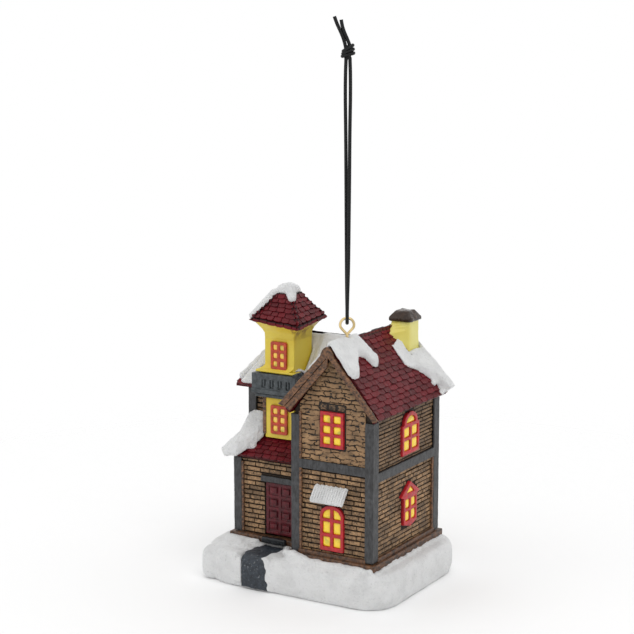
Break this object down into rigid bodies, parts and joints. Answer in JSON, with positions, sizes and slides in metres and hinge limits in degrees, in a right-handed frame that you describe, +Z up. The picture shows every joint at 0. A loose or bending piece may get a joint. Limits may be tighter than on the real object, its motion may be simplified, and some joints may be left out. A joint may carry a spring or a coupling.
{
  "type": "light-up christmas house",
  "caption": "Small snow-covered brick house ornament with a tower, amber windows, a hanging cord and a battery light unit with a switch in its base.",
  "frame": {"origin": "centre of the base's underside", "axes": "+Z up towards the hanging cord, -Y out of the house's front with the door, +X to the house's right as its viewer sees it"},
  "size_m": [0.0626, 0.0494, 0.1598],
  "materials": {
    "snow_white": "painted cast resin, textured white",
    "brick_tan": "painted cast resin, tan bricks with a dark wash",
    "timber_grey": "painted cast resin, dark grey",
    "slate_grey": "painted cast resin, slate grey",
    "roof_burgundy": "painted cast resin, satin burgundy",
    "wood_brown": "painted cast resin, brown with a dark wash",
    "wall_yellow": "painted cast resin, satin yellow",
    "frame_red": "painted red",
    "frame_orange": "painted orange-red",
    "pane_amber": "translucent amber",
    "door_burgundy": "painted dark burgundy",
    "cap_brown": "glossy dark brown",
    "eye_brass": "bright brass wire",
    "cord_black": "waxed black cord",
    "plastic_black": "moulded black",
    "plastic_white": "moulded white",
    "board_green": "green solder mask",
    "cell_steel": "satin steel",
    "contact_steel": "plated spring steel",
    "led_clear": "clear warm white lens"
  },
  "bodies": {
    "house": {"base_plinth": "snow_white", "garden_path": "slate_grey", "doorstep": "slate_grey", "front_snow_bank": "snow_white", "wing_snow_bank": "snow_white", "ground_sill": "wood_brown", "main_walls": "brick_tan", "main_timber_frame": "timber_grey", "main_roof": "roof_burgundy", "left_bargeboard": "wood_brown", "right_bargeboard": "wood_brown", "rear_bargeboard": "wood_brown", "ridge_snow": "snow_white", "chimney_stack": "wall_yellow", "chimney_cap": "cap_brown", "chimney_snow": "snow_white", "front_lower_window_frame": "frame_red", "front_lower_window_pane": "pane_amber", "front_upper_window_frame": "frame_red", "front_upper_window_pane": "pane_amber", "side_lower_window_frame": "frame_red", "side_lower_window_pane": "pane_amber", "side_upper_window_frame": "frame_red", "side_upper_window_pane": "pane_amber", "window_awning": "snow_white", "wing_lower_walls": "brick_tan", "wing_upper_walls": "brick_tan", "wing_timber_frame": "timber_grey", "wing_roof": "roof_burgundy", "wing_snow": "snow_white", "valley_snow": "snow_white", "porch_post": "timber_grey", "porch_roof": "roof_burgundy", "porch_snow": "snow_white", "front_door": "door_burgundy", "door_lintel": "timber_grey", "tower_bay": "wall_yellow", "bay_window_frame": "frame_orange", "bay_window_pane": "pane_amber", "balcony_floor": "slate_grey", "balcony_parapet": "slate_grey", "balcony_deck": "wall_yellow", "tower_room": "wall_yellow", "tower_window_frame": "frame_orange", "tower_window_pane": "pane_amber", "tower_cornice": "wall_yellow", "tower_roof": "roof_burgundy", "tower_snow_cap": "snow_white", "screw_eye": "eye_brass", "hanging_cord": "cord_black", "cord_knot": "cord_black", "light_housing": "plastic_black", "circuit_board": "board_green", "led": "led_clear", "coin_cell": "cell_steel", "top_contact": "contact_steel", "side_contact": "contact_steel", "switch_body": "contact_steel"},
    "battery_cover": {"battery_cover": "plastic_black"},
    "switch_knob": {"switch_knob": "plastic_white"}
  },
  "joints": [
    {"name": "cover_turn", "type": "hinge", "parent": "house", "child": "battery_cover", "pos_m": [0.0044, 0, 0.0014], "axis": [0, 0, 1], "range_deg": [0, 40]},
    {"name": "switch_slide", "type": "slide", "parent": "house", "child": "switch_knob", "axis": [0, 1, 0], "range_m": [0, 0.002]}
  ]
}
